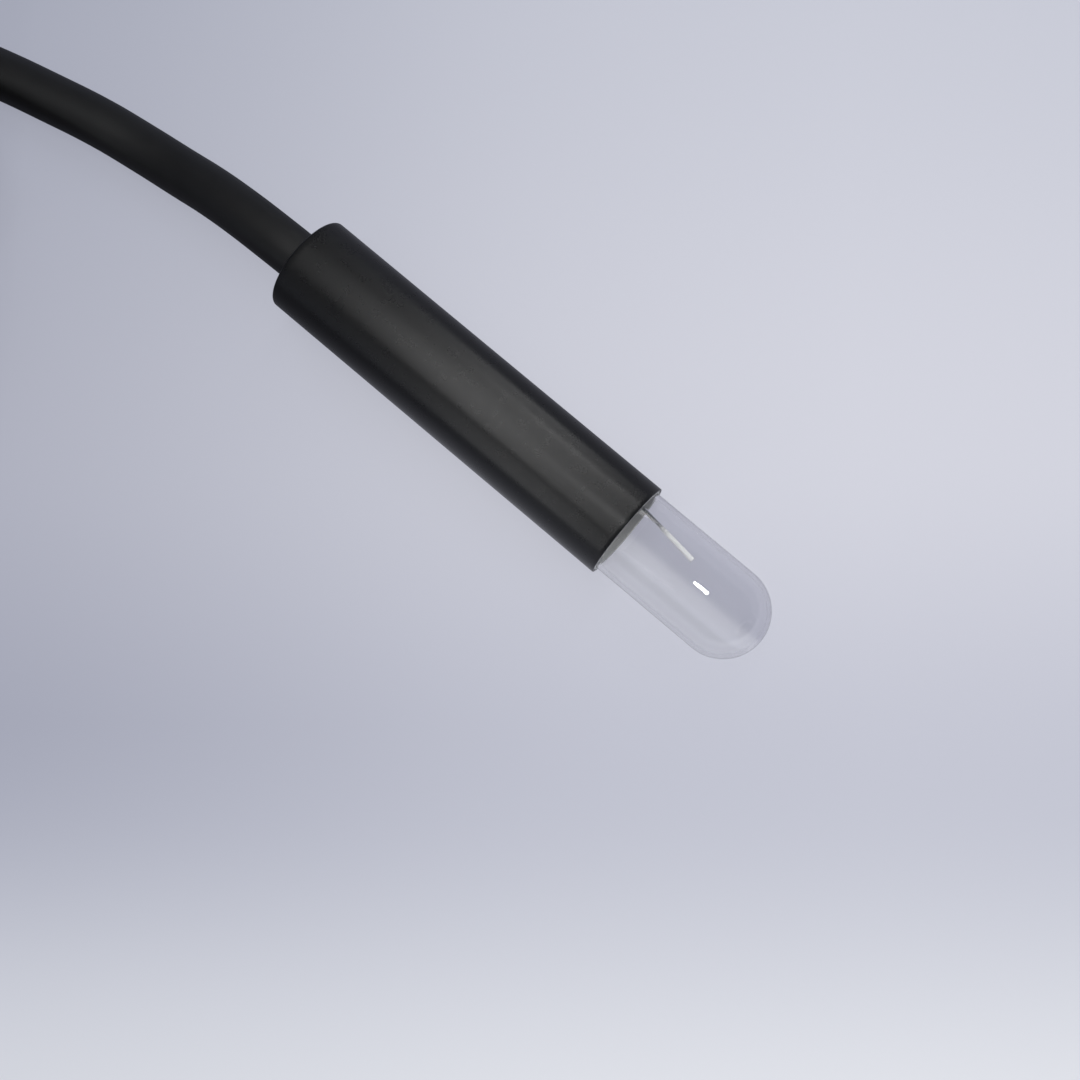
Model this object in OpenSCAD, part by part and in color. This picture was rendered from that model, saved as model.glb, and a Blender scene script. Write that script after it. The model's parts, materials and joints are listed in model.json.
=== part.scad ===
// pH electrode with its lead and bayonet plug, in millimetres.
// The electrode lies on the surface z = 0 with its axis along X and its glass tip towards +X.
// The origin lies on that surface under the middle of the electrode, without its lead.

/* [Sleeve] */
// Outer diameter of the sleeve
sleeve_d = 12; // [11.9:0.05:13]
// Length of the sleeve
sleeve_l = 48.4; // [44:0.1:70]
// Wall of the sleeve along the chamber
sleeve_wall = 0.6; // [0.45:0.05:0.6]
// Thickness of the closed end
end_wall = 2.4; // [1.5:0.1:3.5]
// Radius of the closed end's outer edge
end_edge_r = 0.3; // [0.1:0.05:0.8]
// Wall of the thin lip round the junction ring
lip_wall = 0.3; // [0.2:0.05:0.4]

/* [Glass] */
// Diameter of the wide glass tube
bulb_d = 10.75; // [9.5:0.05:10.8]
// How far the glass stands out of the sleeve
bulb_reach = 19.2; // [14:0.1:24]
// Wall of the glass
glass_wall = 0.5; // [0.35:0.05:0.6]
// Diameter of the narrow stem inside the sleeve
stem_d = 6; // [5.4:0.1:6.2]

/* [Junction and seals] */
// Length of the porous junction ring, and of the wide glass inside the sleeve
ring_l = 4; // [3:0.1:6]
// Length of the bulkhead that closes the reference chamber
bulkhead_l = 4.6; // [3.6:0.1:6]
// How far the stem stands out of the bulkhead
stem_proud = 1; // [0.5:0.1:2]
// Thickness of the seal between bulkhead and sleeve
outer_seal_t = 0.8; // [0.6:0.05:0.9]
// Thickness of the seal between bulkhead and stem
inner_seal_t = 0.7; // [0.5:0.05:0.8]
// Depth of the stopper in the stem
stopper_depth = 4; // [2:0.1:6]
// Thickness of the stopper's head
stopper_head = 1; // [0.6:0.1:1.5]
// Air left between the stopper and the solution
air_l = 2; // [1:0.1:4]

/* [Wires] */
// Diameter of the measuring wire
wire_d = 0.5; // [0.3:0.05:0.8]
// How far the measuring wire reaches past the sleeve's mouth
wire_reach = 7.7; // [4:0.1:10]
// Distance of the wire's tip from the axis
wire_tip_offset = 2.15; // [0:0.05:3.5]
// Distance of the wire's bend from the axis
wire_bend_offset = 3.35; // [1:0.05:3.8]
// How far that bend lies behind the mouth
wire_bend_depth = 2.5; // [1:0.1:3]
// Turn of the wire's plane about the axis, from level
wire_turn = 8; // [-180:1:180]
// Diameter of the reference wire
ref_wire_d = 0.4; // [0.3:0.05:0.5]
// Length of the reference wire in its chamber
ref_wire_l = 16; // [8:0.5:20]
// Diameter of the two crimped joints
joint_d = 1.4; // [1.2:0.1:1.8]
// Length of the two crimped joints
joint_l = 3; // [2:0.1:3.4]
// Diameter of the twisted shield strand
pigtail_d = 0.8; // [0.5:0.05:1]
// Length kept for the wiring behind the stem's rim
wiring_l = 12.4; // [11.5:0.1:16]

/* [Lead] */
// Diameter of the lead
lead_d = 6; // [5:0.1:6.2]
// Diameter of the lead's inner insulation
core_insulation_d = 2; // [1.6:0.1:2.4]
// Diameter of the lead's core
core_wire_d = 0.5; // [0.4:0.05:0.6]
// Outer diameter of the clamp ring on the lead inside the sleeve
clamp_d = 9; // [8:0.1:10]
// Length of that clamp ring
clamp_l = 3.5; // [2:0.1:4]
// Length of the lead past the clamp ring
lead_proud = 1; // [0.5:0.1:2]
// Length of the bare insulation past the lead's jacket
insulation_proud = 2; // [1:0.1:2.5]
// Radius of the coil's two end bends at the middle of its turns
coil_r = 17; // [16:0.5:18]
// Straight stretch of the coil between its two end bends
coil_run = 58; // [56:1:62]
// Width of the strap that ties the coil
tie_w = 10; // [6:0.5:14]
// Thickness of that strap
tie_t = 0.8; // [0.5:0.1:1.2]

/* [Plug body] */
// Length of the rubber boot
boot_l = 19; // [16:0.5:26]
// Diameter of the boot at its thin end
boot_back_d = 8.2; // [8:0.1:9]
// Diameter of the boot at its thick end
boot_front_d = 10.4; // [9.8:0.1:12]
// Number of grooves round the boot
boot_grooves = 5; // [3:1:6]
// Diameter of the crimped ferrule
ferrule_d = 7.1; // [6.8:0.1:7.2]
// Length of the ferrule
ferrule_l = 13.5; // [11:0.5:15]
// Diameter of the body's collar in front of the boot
collar_d = 10.4; // [9.8:0.1:12]
// Length of the collar
collar_l = 3; // [2:0.1:4]
// Width across the collar's two flats
collar_flats = 9.4; // [9:0.1:10.4]
// Diameter of the hub on which the nut turns
hub_d = 8.4; // [8:0.05:8.5]
// Length of the hub
hub_l = 6; // [5.4:0.1:7]
// Bore of the body's crimping stem
stem_bore_d = 2.6; // [2.2:0.1:3.2]
// Diameter of the outer contact
contact_d = 8.1; // [7.9:0.05:8.2]
// Wall of the outer contact
contact_wall = 0.6; // [0.4:0.05:0.7]
// Length of the outer contact in front of the hub
contact_l = 8.1; // [7:0.1:9]
// Number of slots in the outer contact
contact_slots = 6; // [4:1:8]
// Diameter of the centre pin
pin_d = 1.35; // [1.2:0.05:1.5]
// How far the centre pin's tip stays behind the outer contact's front
pin_recess = 1.3; // [0.5:0.1:2]
// Diameter of the pin's crimped end
pin_crimp_d = 2; // [1.7:0.1:2.2]
// Inside diameter of the insulator's front cup
cup_d = 5; // [4.6:0.1:5.4]
// Thickness of the gasket round the outer contact
gasket_t = 1; // [0.6:0.1:1.4]

/* [Coupling nut] */
// Diameter of the nut over its ribs
nut_d = 14.5; // [14:0.1:16]
// Diameter of the nut in front of its ribs
nut_front_d = 13; // [12.6:0.1:13.4]
// Length of the nut
nut_l = 14.2; // [13.6:0.1:15]
// Length of the ribbed stretch
rib_l = 6.2; // [4:0.1:7]
// Number of ribs
rib_count = 28; // [20:2:36]
// Depth of the grooves between the ribs
rib_depth = 0.5; // [0.3:0.05:0.6]
// Bore of the nut
nut_bore_d = 9.75; // [9.7:0.05:9.9]
// Thickness of the nut's inner flange
flange_t = 1.6; // [1:0.1:2]
// Radial running gap between nut and hub
running_gap = 0.05; // [0.03:0.01:0.08]
// Axial play at the nut's rear face
nut_play = 0.05; // [0.02:0.01:0.1]
// Width of a bayonet slot
slot_w = 2.2; // [2.1:0.05:2.4]
// Distance of a bayonet slot's floor from the axis
slot_r = 5.7; // [5.6:0.05:5.8]
// Straight entry of a bayonet slot
slot_entry = 2; // [1.5:0.1:3]
// Rise of a bayonet slot's ramp along the axis
slot_rise = 2.7; // [2:0.1:3.2]
// Turn of a bayonet slot's ramp about the axis
slot_turn = 75; // [60:1:90]
// Diameter of the hole in which a lug comes to rest
lug_hole_d = 2.6; // [2.4:0.1:3]
// Thickness of the thrust washer
thrust_t = 0.35; // [0.2:0.05:0.5]
// Height of the wave spring at rest
spring_h = 1.75; // [1.5:0.05:2]
// Thickness of the wave spring's sheet
spring_t = 0.25; // [0.2:0.05:0.35]
// Thickness of the retaining ring
retainer_t = 0.6; // [0.4:0.05:0.8]
// Depth of the retaining ring's groove in the hub
retainer_groove = 0.45; // [0.3:0.05:0.5]

/* [Hidden] */
$fn = 96;

// Clearance of a piece in its seat
seat_gap = 0.02;
// How far a cutting shape runs past a face
past = 1;

// Places along the electrode, measured from the sleeve's mouth towards the tip
axis_z = sleeve_d / 2;
mouth_x = (sleeve_l - bulb_reach) / 2;
back_x = mouth_x - sleeve_l;
bulb_r = bulb_d / 2;
stem_r = stem_d / 2;
neck_h = (bulb_r - stem_r) / 2;
bore_d = sleeve_d - 2 * sleeve_wall;
ring_seat_d = sleeve_d - 2 * lip_wall;
end_at = end_wall - sleeve_l;
rim_at = end_at + wiring_l;
head_at = rim_at - stopper_head;
bulkhead_at = rim_at + stem_proud;
chamber_at = bulkhead_at + bulkhead_l;
jacket_at = end_at + clamp_l + lead_proud;
insulation_at = jacket_at + insulation_proud;
joint_at = (insulation_at + head_at) / 2;
ref_wire_r = (stem_r + bore_d / 2) / 2;
wire_bore_d = max(wire_d, core_wire_d);

// Places along the plug, measured from the boot's thin end towards the front
ferrule_at = boot_l - 0.5 - ferrule_l;
jacket_end = ferrule_at + 3;
stem_at = jacket_end + 1;
hub_at = boot_l + collar_l;
nut_at = hub_at + nut_play;
thrust_at = nut_at + flange_t;
spring_at = thrust_at + thrust_t;
retainer_at = spring_at + spring_h;
contact_at = hub_at + hub_l;
contact_flange_t = 0.6;
contact_front = contact_at + contact_l;
contact_bore_d = contact_d - 2 * contact_wall;
contact_base_d = hub_d - 1.6;
contact_base_at = hub_at + 0.5;
contact_base_bore_d = contact_base_d - 2 * contact_wall;
insulator_at = hub_at - 1.5;
insulator_l = contact_l - 1.5;
pin_step_at = hub_at + 1;
pin_at = insulator_at - 3;
pin_tip_at = contact_front - pin_recess;
nut_front = nut_at + nut_l;
washer_d = nut_bore_d - 0.15;
nut_turn = -40;

// Shape of the lead: its exit is the middle of the sleeve's closed end, and every point of its
// route is given from that exit as [along X, along Y, share of the height still to fall].
lead_r = lead_d / 2;
lead_sides = 12;
bend_steps = 5;
run_route = [[-5, 0, 0.97], [-10, 0, 0.8], [-15, -0.2, 0.5], [-20, -0.7, 0.18], [-26, -1.4, 0],
    [-32, -2.4, 0], [-39, -4, 0], [-46, -5.8, 0], [-54, -8.3, 0], [-61, -10.6, 0], [-67, -12.2, 0],
    [-73, -13, 0]];
coil_from_exit = [-55, -33];
// The tail leaves the innermost turn in the coil's far bend and rises to the plug's axis. Its points
// are given from that bend's centre as [along X, along Y, share of the rise].
tail_route = [[-5.1, -12.7, 0], [-0.5, -13.5, 0], [4.1, -12.7, 0.02], [7.2, -11.1, 0.12],
    [12.2, -7.6, 0.52], [17.2, -4.1, 0.85], [19.8, -2.6, 0.95], [22.6, -1.8, 1]];
plug_from_bend = [25.3, -1.5];
coil_x = back_x + coil_from_exit[0];
coil_y = coil_from_exit[1];
bend_x = coil_x - coil_run;
plug_x = bend_x + plug_from_bend[0];
plug_y = coil_y + plug_from_bend[1];
plug_z = nut_d / 2;

function run_point(p) = [back_x + p[0], p[1], lead_r + (axis_z - lead_r) * p[2]];
function tail_point(p) = [bend_x + p[0], coil_y + p[1], lead_r + (plug_z - lead_r) * p[2]];

run_path = concat([[mouth_x + jacket_at, 0, axis_z], [back_x, 0, axis_z]],
    [for (p = run_route) run_point(p)]);
tail_path = concat([for (p = tail_route) tail_point(p)],
    [[plug_x, plug_y, plug_z], [plug_x + jacket_end, plug_y, plug_z]]);

function unit(v) = v / norm(v);
function tangent(path, i) = unit(path[min(i + 1, len(path) - 1)] - path[max(i - 1, 0)]);
function tube_ring(centre, along, r, sides, level) =
    let (side = unit(cross(level, along)), up = cross(along, side))
    [for (k = [0 : sides - 1]) centre + r * (cos(360 * k / sides) * side + sin(360 * k / sides) * up)];

// A round tube along a path of points that never runs along the direction level
module tube(path, d, sides, level) {
    last = len(path) - 1;
    rings = [for (i = [0 : last]) each tube_ring(path[i], tangent(path, i), d / 2, sides, level)];
    skin = [for (i = [0 : last - 1], k = [0 : sides - 1])
        [i * sides + k, (i + 1) * sides + k, (i + 1) * sides + (k + 1) % sides, i * sides + (k + 1) % sides]];
    first_end = [for (k = [0 : sides - 1]) k];
    last_end = [for (k = [0 : sides - 1]) last * sides + sides - 1 - k];
    polyhedron(rings, concat(skin, [first_end, last_end]));
}

// Children stand on the electrode's axis, with +Z towards the tip
module on_axis(at) {
    translate([mouth_x + at, 0, axis_z]) rotate([0, 90, 0]) children();
}

// Children stand on the plug's axis, with +Z towards its front
module on_plug(at) {
    translate([plug_x + at, plug_y, plug_z]) rotate([0, 90, 0]) children();
}

module ring(outer_d, inner_d, h) {
    difference() {
        cylinder(d = outer_d, h = h);
        translate([0, 0, -past]) cylinder(d = inner_d, h = h + 2 * past);
    }
}

// A round bar whose edge at z = 0 has a radius
module edged_bar(d, h, r) {
    rotate_extrude() {
        translate([0, r]) square([d / 2, h - r]);
        square([d / 2 - r, h]);
        translate([d / 2 - r, r]) circle(r = r);
    }
}

// Points of a bend: its corner and the heading it comes in with, from +Z towards +X
function bend(corner, heading, turn, bend_r) =
    let (side = sign(turn) * bend_r,
        start = corner - bend_r * tan(abs(turn) / 2) * [sin(heading), cos(heading)],
        centre = start + side * [cos(heading), -sin(heading)])
    [for (k = [0 : bend_steps]) let (a = heading + turn * k / bend_steps)
        centre - side * [cos(a), -sin(a)]];

// A round wire through points of the XZ plane, bent with a radius at each inner point
module bent_wire(points, d) {
    last = len(points) - 1;
    headings = [for (i = [0 : last - 1])
        atan2(points[i + 1][0] - points[i][0], points[i + 1][1] - points[i][1])];
    bends = [for (i = [1 : last - 1])
        each bend(points[i], headings[i - 1], headings[i] - headings[i - 1], 1.6 * d)];
    path = [for (p = concat([points[0]], bends, [points[last]])) [p[0], 0, p[1]]];
    tube(path, d, 16, [0, 1, 0]);
}

// The glass's outline moved inwards by inset, from the stem's end to the tip
module glass_form(inset, stem_end) {
    shoulder_at = -ring_l - 2 * neck_h;
    dome_at = bulb_reach - bulb_r;
    rotate_extrude() {
        translate([0, -ring_l]) square([bulb_r - inset, ring_l + dome_at]);
        translate([0, dome_at]) intersection() {
            circle(r = bulb_r - inset);
            square(bulb_r + past);
        }
        translate([bulb_r - neck_h, -ring_l]) circle(r = neck_h - inset);
        translate([0, -ring_l - neck_h + inset]) square([bulb_r - neck_h, neck_h - inset]);
        difference() {
            translate([0, shoulder_at]) square([stem_r + neck_h, neck_h + inset]);
            translate([stem_r + neck_h, shoulder_at]) circle(r = neck_h + inset);
        }
        translate([0, stem_end]) square([stem_r - inset, shoulder_at - stem_end]);
    }
}

module sleeve() {
    color("#1b1b1e") on_axis(-sleeve_l) difference() {
        edged_bar(sleeve_d, sleeve_l, end_edge_r);
        translate([0, 0, end_wall]) cylinder(d = bore_d, h = sleeve_l);
        translate([0, 0, sleeve_l - ring_l]) cylinder(d = ring_seat_d, h = ring_l + past);
        translate([0, 0, -past]) cylinder(d = lead_d + 2 * seat_gap, h = end_wall + 2 * past);
    }
}

module junction_ring() {
    color("#8d8d90") on_axis(-ring_l)
        ring(ring_seat_d - 2 * seat_gap, bulb_d + 2 * seat_gap, ring_l);
}

module glass_bulb() {
    color([0.8, 0.86, 0.9, 0.4]) on_axis(0) difference() {
        glass_form(0, rim_at);
        glass_form(glass_wall, rim_at - past);
    }
}

module measuring_wire_form(d) {
    bend_at = -ring_l - 2 * neck_h - d;
    rotate([0, 0, 90 + wire_turn]) bent_wire([[0, joint_at], [0, bend_at],
        [wire_bend_offset, -wire_bend_depth], [wire_tip_offset, wire_reach]], d);
}

module fill_solution() {
    color([0.85, 0.9, 0.95, 0.3]) on_axis(0) difference() {
        glass_form(glass_wall + seat_gap, rim_at + stopper_depth + air_l);
        measuring_wire_form(wire_d);
    }
}

module measuring_wire() {
    color("silver") on_axis(0) measuring_wire_form(wire_d);
}

module bulb_stopper() {
    color("#b9b4a8") on_axis(head_at) difference() {
        union() {
            cylinder(d = stem_d, h = stopper_head);
            cylinder(d = stem_d - 2 * glass_wall, h = stopper_head + stopper_depth);
        }
        translate([0, 0, -past]) cylinder(d = wire_d, h = stopper_head + stopper_depth + 2 * past);
    }
}

// The reference wire's side lies opposite the measuring wire's
module on_reference_side() {
    rotate([0, 0, 270 + wire_turn]) children();
}

module reference_wire_form() {
    on_reference_side() translate([ref_wire_r, 0, joint_at])
        cylinder(d = ref_wire_d, h = chamber_at + ref_wire_l - joint_at, $fn = 32);
}

module reference_gel() {
    color([0.9, 0.9, 0.8, 0.5]) on_axis(0) difference() {
        translate([0, 0, chamber_at]) cylinder(d = bore_d - 2 * seat_gap, h = -ring_l - chamber_at);
        glass_form(-seat_gap, rim_at);
        reference_wire_form();
    }
}

module reference_wire() {
    color("silver") on_axis(0) reference_wire_form();
}

outer_groove_at = bulkhead_at + bulkhead_l / 3;
inner_groove_at = bulkhead_at + 2 * bulkhead_l / 3;

module chamber_bulkhead() {
    color("#5c5f66") on_axis(0) difference() {
        translate([0, 0, bulkhead_at]) ring(bore_d - 2 * seat_gap, stem_d + 2 * seat_gap, bulkhead_l);
        translate([0, 0, outer_groove_at - outer_seal_t / 2 - seat_gap])
            ring(bore_d + past, bore_d - 2 * outer_seal_t, outer_seal_t + 2 * seat_gap);
        translate([0, 0, inner_groove_at - inner_seal_t / 2 - seat_gap])
            cylinder(d = stem_d + 2 * inner_seal_t, h = inner_seal_t + 2 * seat_gap);
        reference_wire_form();
    }
}

module o_ring(mid_d, t) {
    rotate_extrude() translate([mid_d / 2, 0]) circle(d = t, $fn = 48);
}

module bulkhead_o_ring() {
    color("#222222") on_axis(outer_groove_at) o_ring(bore_d - outer_seal_t, outer_seal_t);
}

module stem_o_ring() {
    color("#222222") on_axis(inner_groove_at) o_ring(stem_d + inner_seal_t, inner_seal_t);
}

module wire_joint() {
    color("#c9a063") on_axis(joint_at - joint_l / 2) ring(joint_d, wire_bore_d, joint_l);
}

module core_wire() {
    color("#c98d5a") on_axis(jacket_at) cylinder(d = core_wire_d, h = joint_at - jacket_at);
}

module core_insulation() {
    color("white") on_axis(jacket_at) ring(core_insulation_d, core_wire_d, insulation_proud);
}

module shield_pigtail_form() {
    pigtail_r = (core_insulation_d + lead_d) / 4;
    on_reference_side() bent_wire([[pigtail_r, jacket_at], [pigtail_r, jacket_at + pigtail_d],
        [ref_wire_r, joint_at - joint_l / 2 - pigtail_d / 2], [ref_wire_r, joint_at]], pigtail_d);
}

module shield_pigtail() {
    color("#c98d5a") on_axis(0) shield_pigtail_form();
}

module reference_joint() {
    color("#c9a063") on_axis(joint_at) on_reference_side() translate([ref_wire_r, 0, 0]) difference() {
        translate([0, 0, -joint_l / 2]) cylinder(d = joint_d, h = joint_l);
        translate([0, 0, -joint_l]) cylinder(d = pigtail_d, h = joint_l);
        translate([0, 0, -past]) cylinder(d = ref_wire_d, h = joint_l);
    }
}

module cable_clamp() {
    color("#9a9da3") on_axis(end_at) ring(clamp_d, lead_d, clamp_l);
}

module potting() {
    color("#2c2a28") difference() {
        on_axis(end_at) cylinder(d = bore_d - 2 * seat_gap, h = bulkhead_at - end_at);
        on_axis(end_at - past) cylinder(d = lead_d, h = jacket_at - end_at + past);
        on_axis(end_at - past) cylinder(d = clamp_d, h = clamp_l + past);
        on_axis(jacket_at - past) cylinder(d = core_insulation_d, h = insulation_proud + past);
        on_axis(jacket_at) cylinder(d = wire_bore_d, h = head_at - jacket_at);
        on_axis(joint_at - joint_l / 2) cylinder(d = joint_d, h = joint_l);
        on_axis(joint_at - joint_l / 2) on_reference_side() translate([ref_wire_r, 0, 0])
            cylinder(d = joint_d, h = joint_l);
        on_axis(head_at) cylinder(d = stem_d, h = bulkhead_at - head_at + past);
        on_axis(0) reference_wire_form();
        on_axis(0) shield_pigtail_form();
    }
}

module lead_run() {
    color("#222226") tube(run_path, lead_d, lead_sides, [0, 0, 1]);
}

module lead_tail() {
    color("#222226") tube(tail_path, lead_d, lead_sides, [0, 0, 1]);
}

// The outline of the coil seen from above, at one distance from the middle of its bends
module coil_outline(r) {
    circle(r = r);
    translate([-coil_run, 0]) circle(r = r);
    translate([-coil_run, -r]) square([coil_run, 2 * r]);
}

// The outline of four turns side by side and two high, with a wall round them
module turns_outline(wall) {
    side = 2 * lead_d;
    translate([0, lead_d]) {
        square([side + 2 * wall, lead_d], center = true);
        square([lead_d, side + 2 * wall], center = true);
        for (x = [-1, 1], y = [-1, 1]) translate([x * lead_r, y * lead_r]) circle(r = lead_r + wall);
    }
}

// Children are outlines that run along the coil's straight side for the width of its strap
module in_tie() {
    translate([coil_x - (coil_run + tie_w) / 2, coil_y + coil_r, tie_t]) rotate([90, 0, 90])
        linear_extrude(tie_w) children();
}

// The strap lifts the turns that it holds by its own thickness
module lead_coil() {
    color("#222226") {
        difference() {
            translate([coil_x, coil_y, 0]) linear_extrude(2 * lead_d) difference() {
                coil_outline(coil_r + lead_d);
                coil_outline(coil_r - lead_d);
            }
            in_tie() translate([0, lead_d]) square(3 * lead_d, center = true);
        }
        in_tie() turns_outline(0);
    }
}

module coil_tie() {
    color("#111113") in_tie() difference() {
        turns_outline(tie_t);
        turns_outline(0);
    }
}

module plug_boot() {
    groove_w = 0.9;
    groove_depth = 0.4;
    pitch = (boot_l - 5) / boot_grooves;
    color("#202023") on_plug(0) difference() {
        cylinder(d1 = boot_back_d, d2 = boot_front_d, h = boot_l);
        for (i = [0 : boot_grooves - 1]) {
            at = 2.5 + i * pitch;
            groove_d = boot_back_d + (boot_front_d - boot_back_d) * at / boot_l - 2 * groove_depth;
            translate([0, 0, at]) ring(boot_front_d + past, groove_d, groove_w);
        }
        translate([0, 0, -past]) cylinder(d = lead_d, h = boot_l);
        translate([0, 0, ferrule_at]) cylinder(d = ferrule_d, h = boot_l);
    }
}

module crimp_ferrule() {
    color("#b7b8bb") on_plug(ferrule_at) ring(ferrule_d, lead_d, ferrule_l);
}

module plug_body() {
    color("#b7b8bb") on_plug(0) difference() {
        union() {
            translate([0, 0, stem_at]) cylinder(d = lead_d, h = hub_at - stem_at);
            translate([0, 0, boot_l]) intersection() {
                cylinder(d = collar_d, h = collar_l);
                translate([-collar_d / 2, -collar_flats / 2, 0]) cube([collar_d, collar_flats, collar_l]);
            }
            translate([0, 0, hub_at]) cylinder(d = hub_d, h = hub_l);
        }
        translate([0, 0, stem_at - past]) cylinder(d = stem_bore_d, h = hub_at);
        translate([0, 0, insulator_at]) cylinder(d = contact_base_bore_d, h = hub_l);
        translate([0, 0, contact_base_at]) cylinder(d = contact_base_d, h = hub_l);
        translate([0, 0, retainer_at]) ring(hub_d + past, hub_d - 2 * retainer_groove, retainer_t);
    }
}

module contact_sleeve() {
    slot_t = 0.5;
    tube_at = contact_at + contact_flange_t;
    slot_at = tube_at + gasket_t + 0.5;
    color("#c9b184") on_plug(0) difference() {
        union() {
            translate([0, 0, contact_base_at]) cylinder(d = contact_base_d, h = hub_l);
            translate([0, 0, contact_at]) cylinder(d = contact_d + 1.1, h = contact_flange_t);
            translate([0, 0, contact_at]) cylinder(d = contact_d, h = contact_l);
        }
        translate([0, 0, contact_base_at - past]) cylinder(d = contact_base_bore_d, h = hub_l + 2 * past);
        translate([0, 0, tube_at]) cylinder(d = contact_bore_d, h = contact_l);
        for (i = [0 : contact_slots - 1]) rotate([0, 0, 360 * i / contact_slots])
            translate([0, -slot_t / 2, slot_at]) cube([contact_d, slot_t, contact_l]);
    }
}

module insulator() {
    tube_at = contact_at + contact_flange_t;
    color("white") on_plug(0) difference() {
        union() {
            translate([0, 0, insulator_at]) cylinder(d = contact_base_bore_d, h = tube_at - insulator_at);
            translate([0, 0, tube_at]) cylinder(d = contact_bore_d - 2 * seat_gap, h = insulator_l);
        }
        translate([0, 0, tube_at]) cylinder(d = cup_d, h = contact_l);
        translate([0, 0, insulator_at - past]) cylinder(d = pin_crimp_d, h = pin_step_at - insulator_at + past);
        translate([0, 0, insulator_at]) cylinder(d = pin_d, h = contact_l + hub_l);
    }
}

module centre_pin() {
    core_depth = 3;
    color("#d9b45a") on_plug(0) difference() {
        union() {
            translate([0, 0, pin_at]) cylinder(d = pin_crimp_d, h = pin_step_at - pin_at);
            translate([0, 0, pin_at]) cylinder(d = pin_d, h = pin_tip_at - pin_at - pin_d / 2);
            translate([0, 0, pin_tip_at - pin_d / 2]) sphere(d = pin_d);
        }
        translate([0, 0, pin_at - past]) cylinder(d = core_wire_d, h = core_depth + past);
    }
}

module plug_core_insulation() {
    color("white") on_plug(jacket_end) ring(core_insulation_d, core_wire_d, pin_at - jacket_end);
}

module plug_core_wire() {
    core_depth = 3;
    color("#c98d5a") on_plug(jacket_end) cylinder(d = core_wire_d, h = pin_at + core_depth - jacket_end);
}

module plug_gasket() {
    color("#a83a2a") on_plug(contact_at + contact_flange_t)
        ring(nut_bore_d - 0.25, contact_d, gasket_t);
}

// One bayonet slot: a straight entry from the nut's front, a ramp, and a hole where the lug rests
module bayonet_slot() {
    steps = 20;
    reach = 2 * past;
    slot_in = nut_bore_d / 2 - past;
    slope = atan(slot_rise / (slot_turn * PI / 180 * slot_r));
    half_w = slot_w / 2 / cos(slope);
    corners = [[slot_in, -half_w], [slot_r, -half_w], [slot_r, half_w], [slot_in, half_w]];
    ramp = [for (i = [0 : steps], c = corners)
        let (turn = slot_turn * i / steps, z = nut_l - slot_entry - slot_rise * i / steps)
        [c[0] * cos(turn), c[0] * sin(turn), z + c[1]]];
    skin = [for (i = [0 : steps - 1], k = [0 : 3])
        [4 * i + k, 4 * i + (k + 1) % 4, 4 * i + 4 + (k + 1) % 4, 4 * i + 4 + k]];
    polyhedron(ramp, concat(skin, [[3, 2, 1, 0]], [[for (k = [0 : 3]) 4 * steps + k]]));
    translate([slot_in, -slot_w / 2, nut_l - slot_entry]) cube([slot_r - slot_in, slot_w, slot_entry + reach]);
    translate([slot_in, 0, nut_l - slot_entry]) rotate([0, 90, 0]) cylinder(d = slot_w, h = slot_r - slot_in);
    rotate([0, 0, slot_turn]) translate([slot_in, 0, nut_l - slot_entry - slot_rise])
        rotate([0, 90, 0]) cylinder(d = lug_hole_d, h = nut_d);
}

module coupling_nut() {
    edge = 0.4;
    bore_at = flange_t;
    color("#b7b8bb") on_plug(nut_at) difference() {
        union() {
            cylinder(d1 = nut_d - 2 * edge, d2 = nut_d, h = edge);
            translate([0, 0, edge]) cylinder(d = nut_d, h = rib_l - 2 * edge);
            translate([0, 0, rib_l - edge]) cylinder(d1 = nut_d, d2 = nut_d - 2 * edge, h = edge);
            cylinder(d = nut_front_d, h = nut_l - edge);
            translate([0, 0, nut_l - edge]) cylinder(d1 = nut_front_d, d2 = nut_front_d - 2 * edge, h = edge);
        }
        translate([0, 0, -past]) cylinder(d = hub_d + 2 * running_gap, h = nut_l);
        translate([0, 0, bore_at]) cylinder(d = nut_bore_d, h = nut_l);
        for (i = [0 : rib_count - 1]) rotate([0, 0, 360 * (i + 0.5) / rib_count])
            translate([nut_d / 2, 0, -past]) rotate([0, 0, 45])
                translate([-rib_depth, -rib_depth, 0] / sqrt(2))
                    cube([2 * rib_depth, 2 * rib_depth, rib_l + past]);
        for (side = [0, 180]) rotate([0, 0, nut_turn + side]) bayonet_slot();
    }
}

module thrust_washer() {
    color("#cfd0d2") on_plug(thrust_at) ring(washer_d, hub_d + 2 * running_gap, thrust_t);
}

// A washer bent into three waves
module spring_washer() {
    steps = 48;
    waves = 3;
    swing = (spring_h - spring_t) / 2;
    inner_r = hub_d / 2 + 2 * running_gap;
    corners = [[inner_r, 0], [washer_d / 2, 0], [washer_d / 2, spring_t], [inner_r, spring_t]];
    points = [for (i = [0 : steps - 1], c = corners)
        let (turn = 360 * i / steps, z = swing * (1 + sin(waves * turn)))
        [c[0] * cos(turn), c[0] * sin(turn), z + c[1]]];
    skin = [for (i = [0 : steps - 1], k = [0 : 3])
        let (j = (i + 1) % steps)
        [4 * i + k, 4 * i + (k + 1) % 4, 4 * j + (k + 1) % 4, 4 * j + k]];
    color("#9fa1a5") on_plug(spring_at) polyhedron(points, skin);
}

module retaining_ring() {
    gap_w = 1.5;
    color("#9fa1a5") on_plug(retainer_at) difference() {
        ring(washer_d - 0.1, hub_d - 2 * retainer_groove, retainer_t);
        translate([0, -gap_w / 2, -past]) cube([nut_bore_d, gap_w, retainer_t + 2 * past]);
    }
}

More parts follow.
